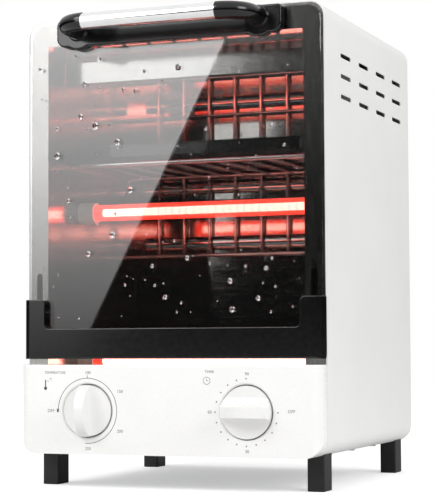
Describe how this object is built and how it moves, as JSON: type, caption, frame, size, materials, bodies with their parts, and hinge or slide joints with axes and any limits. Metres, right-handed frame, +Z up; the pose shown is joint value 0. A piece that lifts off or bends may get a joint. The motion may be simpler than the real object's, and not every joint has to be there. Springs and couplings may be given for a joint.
{
  "type": "dry heat sterilizer",
  "caption": "Small upright bench oven for dry heat sterilizing: white folded steel case, bright cavity with rack and tray, tinted glass door hinged at the bottom, temperature and timer knobs.",
  "frame": {"origin": "on the floor, under the middle of the bounding box", "axes": "+X to the right as the user faces the front, +Y into the depth, +Z up"},
  "size_m": [0.25, 0.31, 0.3705],
  "materials": {
    "case_wrap": "white powder coat",
    "back_panel": "white powder coat",
    "base_plate": "zinc plated steel sheet",
    "feet": "black moulded plastic",
    "base_screws": "zinc plated",
    "back_screws": "zinc plated",
    "control_panel": "white moulded front, satin",
    "control_plate": "zinc plated steel sheet",
    "panel_screws": "zinc plated",
    "thermostat_body": "cream ceramic and steel",
    "timer_body": "zinc plated steel case",
    "timer_bell": "bright steel",
    "shaft_nuts": "plain brass",
    "temperature_knob": "white moulded plastic",
    "timer_knob": "white moulded plastic",
    "temperature_shaft": "turned steel",
    "timer_shaft": "turned steel",
    "cavity_side_left": "bright annealed stainless sheet",
    "cavity_side_right": "bright annealed stainless sheet",
    "cavity_top": "bright annealed stainless sheet",
    "cavity_floor": "bright annealed stainless sheet",
    "cavity_back": "bright annealed stainless sheet",
    "rack_rails": "stainless sheet",
    "rack": "chromed wire",
    "tray": "black enamel on steel",
    "heater_shield": "stainless sheet",
    "back_guard": "chromed wire",
    "heater_tube_upper": "quartz, lit red",
    "heater_tube_middle": "quartz, lit red",
    "heater_tube_lower": "quartz, lit red",
    "tube_holders": "white steatite ceramic",
    "heating_coils": "glowing resistance wire",
    "heater_terminals": "nickel plated steel",
    "thermal_cutout": "black moulded body",
    "cord_gland": "black moulded nylon",
    "terminal_block": "cream moulded nylon",
    "wiring_loom": "glass fibre and silicone covered wire",
    "door_glass": "tinted tempered glass",
    "door_trim": "black moulded plastic, glossy",
    "hinge_pins": "plain steel",
    "hinge_ears": "zinc plated steel",
    "hinge_arms": "zinc plated steel",
    "arm_rivets": "plain steel",
    "handle_base": "black moulded plastic, glossy",
    "handle_elbow_left": "black moulded plastic, glossy",
    "handle_elbow_right": "black moulded plastic, glossy",
    "handle_tube": "polished chrome",
    "handle_washers": "translucent silicone",
    "handle_screws": "zinc plated"
  },
  "bodies": {
    "case": {"case_wrap": "case_wrap", "back_panel": "back_panel", "base_plate": "base_plate", "feet": "feet", "base_screws": "base_screws", "back_screws": "back_screws", "control_panel": "control_panel", "control_plate": "control_plate", "panel_screws": "panel_screws", "thermostat_body": "thermostat_body", "timer_body": "timer_body", "timer_bell": "timer_bell", "shaft_nuts": "shaft_nuts", "cavity_side_left": "cavity_side_left", "cavity_side_right": "cavity_side_right", "cavity_top": "cavity_top", "cavity_floor": "cavity_floor", "cavity_back": "cavity_back", "rack_rails": "rack_rails", "rack": "rack", "tray": "tray", "heater_shield": "heater_shield", "back_guard": "back_guard", "heater_tube_upper": "heater_tube_upper", "heater_tube_middle": "heater_tube_middle", "heater_tube_lower": "heater_tube_lower", "tube_holders": "tube_holders", "heating_coils": "heating_coils", "heater_terminals": "heater_terminals", "thermal_cutout": "thermal_cutout", "cord_gland": "cord_gland", "terminal_block": "terminal_block", "wiring_loom": "wiring_loom", "hinge_ears": "hinge_ears"},
    "door": {"door_glass": "door_glass", "door_trim": "door_trim", "hinge_pins": "hinge_pins", "hinge_arms": "hinge_arms", "arm_rivets": "arm_rivets", "handle_base": "handle_base", "handle_elbow_left": "handle_elbow_left", "handle_elbow_right": "handle_elbow_right", "handle_tube": "handle_tube", "handle_washers": "handle_washers", "handle_screws": "handle_screws"},
    "temperature_control": {"temperature_knob": "temperature_knob", "temperature_shaft": "temperature_shaft"},
    "timer_control": {"timer_knob": "timer_knob", "timer_shaft": "timer_shaft"}
  },
  "joints": [
    {"name": "door_hinge", "type": "hinge", "parent": "case", "child": "door", "pos_m": [0, -0.10787, 0.1042], "axis": [1, 0, 0], "range_deg": [0, 90]},
    {"name": "temperature_turn", "type": "hinge", "parent": "case", "child": "temperature_control", "pos_m": [-0.066, -0.11897, 0.06], "axis": [0, 1, 0], "range_deg": [-90, 180]},
    {"name": "timer_turn", "type": "hinge", "parent": "case", "child": "timer_control", "pos_m": [0.066, -0.11897, 0.06], "axis": [0, 1, 0], "range_deg": [0, 270]}
  ]
}
